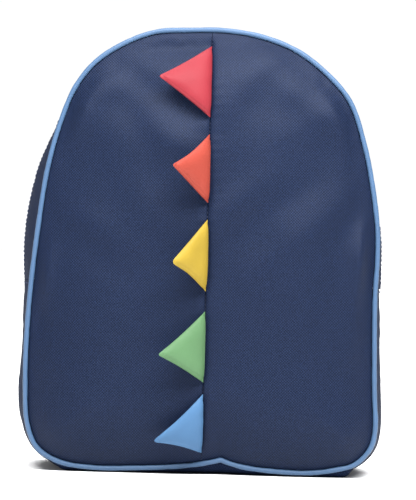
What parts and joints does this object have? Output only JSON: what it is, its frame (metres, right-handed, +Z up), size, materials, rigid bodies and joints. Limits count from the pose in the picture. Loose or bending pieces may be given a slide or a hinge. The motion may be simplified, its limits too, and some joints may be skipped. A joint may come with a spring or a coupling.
{
  "type": "kids animal backpack",
  "caption": "Child's round-topped backpack: piped front panel, padded spikes down the centre seam, zipped gusset, padded shoulder straps and grab handle.",
  "frame": {"origin": "on the floor under the middle of the whole bag, straps and spikes included", "axes": "+Z up along the height, -Y towards the front with the spikes, +X to the viewer's right"},
  "size_m": [0.2666, 0.2064, 0.3221],
  "materials": {
    "shell": "woven navy nylon, faint sheen",
    "piping": "light blue cloth-covered cord, satin",
    "strap_pad": "navy nylon over soft foam, stitched edge",
    "webbing": "dark navy ribbed webbing and zip tape",
    "plastic": "dark navy moulded plastic",
    "spike_red": "smooth coated cloth, soft satin",
    "spike_orange": "smooth coated cloth, soft satin",
    "spike_yellow": "smooth coated cloth, soft satin",
    "spike_green": "smooth coated cloth, soft satin",
    "spike_blue": "smooth coated cloth, soft satin"
  },
  "bodies": {
    "root": {"front_panel_left": "shell", "front_panel_right": "shell", "gusset_lower": "shell", "gusset_front_strip": "shell", "gusset_back_strip": "shell", "back_panel": "shell", "front_piping": "piping", "zip_tape": "webbing", "zip_coil_left": "plastic", "zip_coil_right": "plastic", "zip_slider_left": "plastic", "zip_slider_right": "plastic", "spike_red": "spike_red", "spike_orange": "spike_orange", "spike_yellow": "spike_yellow", "spike_green": "spike_green", "spike_blue": "spike_blue", "grab_handle": "webbing", "strap_pad_left": "strap_pad", "strap_buckle_left": "plastic", "buckle_loop_left": "webbing", "strap_webbing_left": "webbing", "strap_anchor_left": "shell", "strap_pad_right": "strap_pad", "strap_buckle_right": "plastic", "buckle_loop_right": "webbing", "strap_webbing_right": "webbing", "strap_anchor_right": "shell"}
  },
  "joints": []
}
